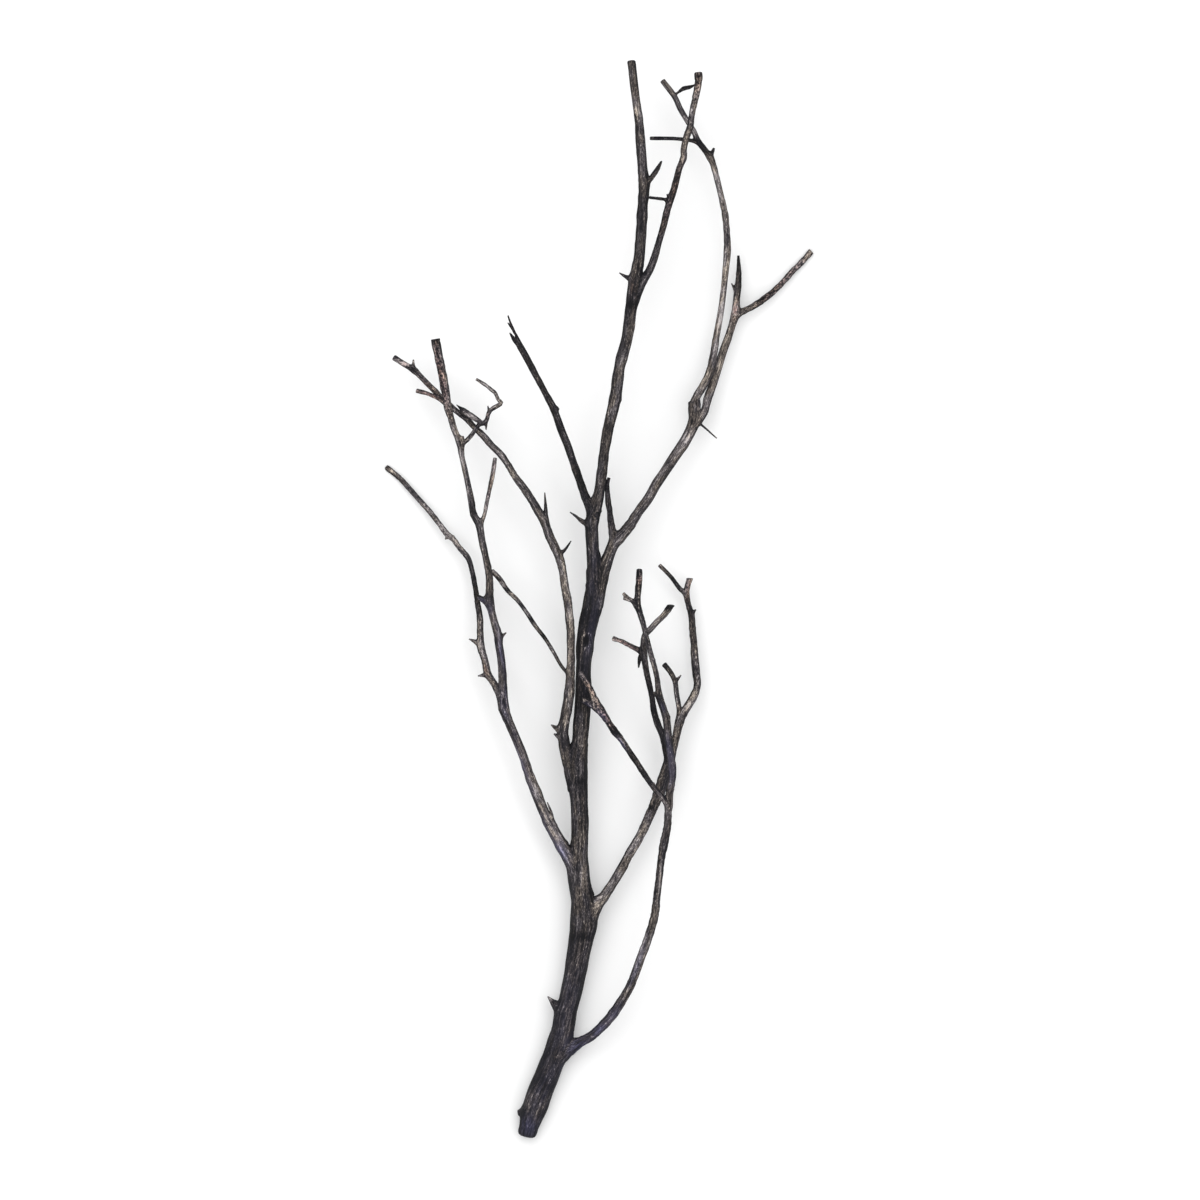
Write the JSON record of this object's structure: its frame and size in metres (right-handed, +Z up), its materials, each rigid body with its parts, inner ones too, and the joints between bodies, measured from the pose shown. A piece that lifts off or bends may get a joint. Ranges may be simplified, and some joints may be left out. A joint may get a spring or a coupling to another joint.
{
  "type": "octopus wood branch",
  "caption": "Dry dark cut branch with a thick stem, crooked forking limbs, thin twigs, thorns and broken stubs, lying on three low points.",
  "frame": {"origin": "middle of the bounding box's footprint, on the surface that the branch lies on", "axes": "+Y along the branch from its cut end towards its top, +Z up from the surface, +X to the right seen from above"},
  "size_m": [0.4292, 1.0784, 0.0959],
  "materials": {
    "bark": "dry charcoal-grey bark with fine lengthwise fibres, matt with a faint sheen, browner and rougher towards the twig ends"
  },
  "bodies": {
    "root": {"branch": "bark"}
  },
  "joints": []
}
